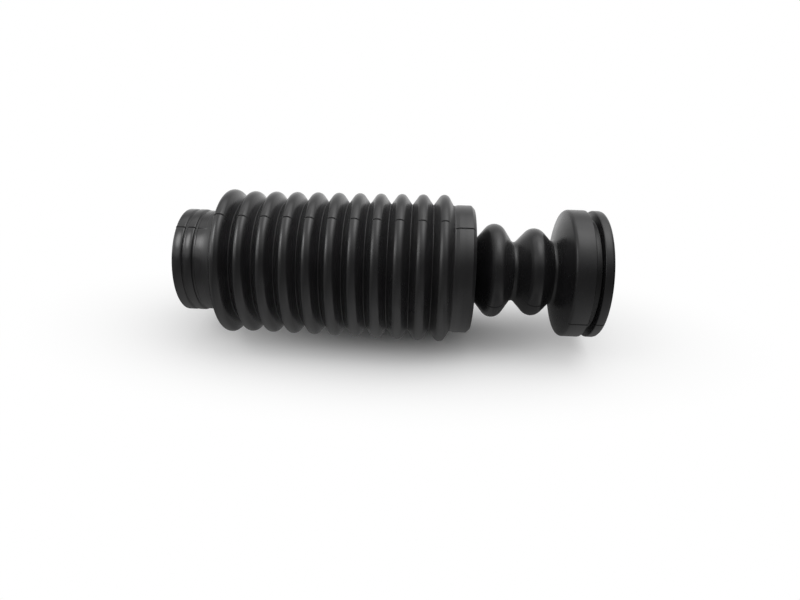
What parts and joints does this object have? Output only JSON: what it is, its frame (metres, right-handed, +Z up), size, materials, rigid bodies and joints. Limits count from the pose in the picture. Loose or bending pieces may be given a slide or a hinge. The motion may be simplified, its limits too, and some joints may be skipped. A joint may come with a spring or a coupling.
{
  "type": "strut dust boot with bump stop",
  "caption": "Rubber bellows boot with a ribbed collar, snapped onto a two-lobed bump stop whose mounting cap has a groove and a rim.",
  "frame": {"origin": "centre of the mounting cap's flat end, on the axis", "axes": "+Z runs up the common axis, from the mounting cap to the boot's collar; X and Y are free because the part is round"},
  "size_m": [0.0914, 0.0914, 0.2552],
  "materials": {
    "boot_rubber": "black moulded rubber with a satin sheen",
    "buffer_rubber": "black moulded rubber with a soft sheen"
  },
  "bodies": {
    "root": {"dust_boot": "boot_rubber", "bump_stop": "buffer_rubber"}
  },
  "joints": []
}
